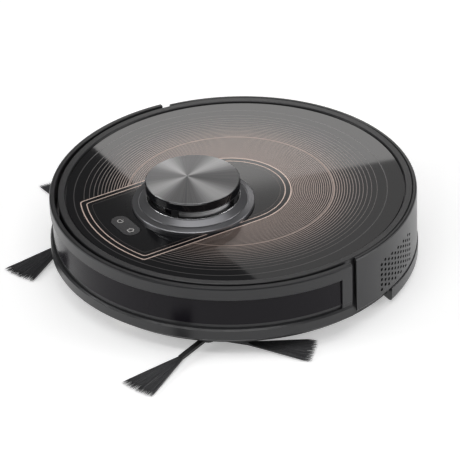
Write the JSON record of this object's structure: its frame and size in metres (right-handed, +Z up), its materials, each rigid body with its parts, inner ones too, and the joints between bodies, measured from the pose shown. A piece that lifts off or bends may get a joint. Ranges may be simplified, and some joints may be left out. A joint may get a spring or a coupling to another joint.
{
  "type": "robot vacuum",
  "caption": "Round floor-cleaning robot with a laser scanning turret, sprung front bumper, side brushes and a glossy top panel.",
  "frame": {"origin": "point on the floor under the centre of the round body", "axes": "+Z up; the robot drives towards -Y; +X is the side with the vents"},
  "size_m": [0.4043, 0.3663, 0.0984],
  "materials": {
    "body_plastic": "fine spark texture",
    "underside_plastic": "moulded",
    "gloss_black": "gloss",
    "ir_window": "dark translucent gloss",
    "satin_grey": "satin",
    "cage_black": "matte",
    "brushed_disc": "radial brushed",
    "drum_grey": "satin",
    "belt_rubber": "matte",
    "steel": "turned",
    "contact_metal": "plated",
    "motor_case": "plain",
    "gear_plastic": "moulded",
    "board": "solder mask",
    "battery": "shrink wrap",
    "tyre": "matte",
    "brush_rubber": "matte",
    "bristle": "fibres",
    "bin_smoke": "smoked",
    "filter": "pleated paper"
  },
  "bodies": {
    "base": {"chassis": "underside_plastic", "inner_skirt": "underside_plastic", "rear_shell": "body_plastic", "top_cover": "body_plastic", "top_panel": "gloss_black", "bumper_springs": "steel", "bumper_switches": "underside_plastic", "turret_base": "satin_grey", "turret_cage": "cage_black", "turret_cap": "gloss_black", "turret_disc": "brushed_disc", "lidar_base": "underside_plastic", "lidar_belt": "belt_rubber", "lidar_motor": "motor_case", "button_board": "board", "arm_pins": "steel", "arm_springs": "steel", "caster_socket": "underside_plastic", "gear_cases": "gear_plastic", "brush_chamber": "underside_plastic", "brush_guard": "underside_plastic", "fan_housing": "underside_plastic", "battery_pack": "battery", "battery_cover": "underside_plastic", "main_board": "board", "cliff_windows": "ir_window", "charge_contacts": "contact_metal", "chassis_screws": "steel"},
    "bumper": {"bumper_shell": "body_plastic", "bumper_window": "ir_window"},
    "scanner": {"lidar_turntable": "drum_grey", "lidar_optics": "drum_grey", "lidar_lenses": "ir_window"},
    "scanner_pulley": {"lidar_pulley": "drum_grey"},
    "rocker": {"button_rocker": "gloss_black"},
    "right_arm": {"right_wheel_arm": "gear_plastic"},
    "left_arm": {"left_wheel_arm": "gear_plastic"},
    "right_wheel": {"right_wheel_hub": "gear_plastic", "right_wheel_tyre": "tyre"},
    "left_wheel": {"left_wheel_hub": "gear_plastic", "left_wheel_tyre": "tyre"},
    "caster": {"caster_fork": "underside_plastic", "caster_axle": "steel"},
    "caster_roller": {"caster_wheel": "tyre"},
    "right_brush": {"right_brush_arms": "brush_rubber", "right_bristles": "bristle", "right_brush_screw": "steel"},
    "left_brush": {"left_brush_arms": "brush_rubber", "left_bristles": "bristle", "left_brush_screw": "steel"},
    "roller": {"roller_core": "gear_plastic", "roller_bristles": "bristle", "roller_blades": "brush_rubber"},
    "fan": {"fan_impeller": "gear_plastic"},
    "dustbin": {"dustbin_body": "bin_smoke", "dustbin_lid": "underside_plastic", "dustbin_filter": "filter"},
    "bin_latch": {"dustbin_latch": "bin_smoke"},
    "tank": {"water_tank": "underside_plastic", "tank_plug": "belt_rubber"}
  },
  "joints": [
    {"name": "bumper_press", "type": "slide", "parent": "base", "child": "bumper", "axis": [0, 1, 0], "range_m": [0, 0.002], "stiffness_N_per_m": 600, "springref_m": -0.002, "deforming": ["bumper_springs"]},
    {"name": "scanner_spin", "type": "hinge", "parent": "base", "child": "scanner", "pos_m": [0, -0.0446, 0.062], "axis": [0, 0, 1], "continuous": true},
    {"name": "pulley_spin", "type": "hinge", "parent": "base", "child": "scanner_pulley", "pos_m": [0, -0.0006, 0.062], "axis": [0, 0, 1], "continuous": true},
    {"name": "button_tip", "type": "hinge", "parent": "base", "child": "rocker", "pos_m": [0, -0.1166, 0.0664], "axis": [0, 1, 0], "range_deg": [-2, 2], "stiffness_Nm_per_rad": 0.3},
    {"name": "right_arm_swing", "type": "hinge", "parent": "base", "child": "right_arm", "pos_m": [0.092, -0.024, 0.04], "axis": [-1, 0, 0], "range_deg": [0, 15], "stiffness_Nm_per_rad": 0.3, "springref_deg": 34.38},
    {"name": "right_wheel_spin", "type": "hinge", "parent": "right_arm", "child": "right_wheel", "pos_m": [0.104, 0.02, 0.034], "axis": [1, 0, 0], "continuous": true},
    {"name": "left_arm_swing", "type": "hinge", "parent": "base", "child": "left_arm", "pos_m": [-0.092, -0.024, 0.04], "axis": [-1, 0, 0], "range_deg": [0, 15], "stiffness_Nm_per_rad": 0.3, "springref_deg": 34.38},
    {"name": "left_wheel_spin", "type": "hinge", "parent": "left_arm", "child": "left_wheel", "pos_m": [-0.104, 0.02, 0.034], "axis": [1, 0, 0], "continuous": true},
    {"name": "caster_swivel", "type": "hinge", "parent": "base", "child": "caster", "pos_m": [0, -0.122, 0.03], "axis": [0, 0, 1], "continuous": true},
    {"name": "caster_spin", "type": "hinge", "parent": "caster", "child": "caster_roller", "pos_m": [0, -0.118, 0.011], "axis": [1, 0, 0], "continuous": true},
    {"name": "right_brush_spin", "type": "hinge", "parent": "base", "child": "right_brush", "pos_m": [0.112, -0.098, 0.012], "axis": [0, 0, 1], "continuous": true},
    {"name": "left_brush_spin", "type": "hinge", "parent": "base", "child": "left_brush", "pos_m": [-0.112, -0.098, 0.012], "axis": [0, 0, 1], "continuous": true},
    {"name": "roller_spin", "type": "hinge", "parent": "base", "child": "roller", "pos_m": [0, 0.046, 0.021], "axis": [1, 0, 0], "continuous": true},
    {"name": "fan_spin", "type": "hinge", "parent": "base", "child": "fan", "pos_m": [0.104, 0.088, 0.03], "axis": [0, 0, 1], "continuous": true},
    {"name": "dustbin_pull", "type": "slide", "parent": "base", "child": "dustbin", "axis": [0, 1, 0], "range_m": [0, 0.11]},
    {"name": "latch_press", "type": "slide", "parent": "dustbin", "child": "bin_latch", "axis": [0, -1, 0], "range_m": [0, 0.0015], "stiffness_N_per_m": 400, "springref_m": -0.001},
    {"name": "tank_pull", "type": "slide", "parent": "base", "child": "tank", "axis": [0, 1, 0], "range_m": [0, 0.11]}
  ],
  "couplings": [
    {"joint": "pulley_spin", "follows": "scanner_spin", "ratio": 7.04}
  ]
}
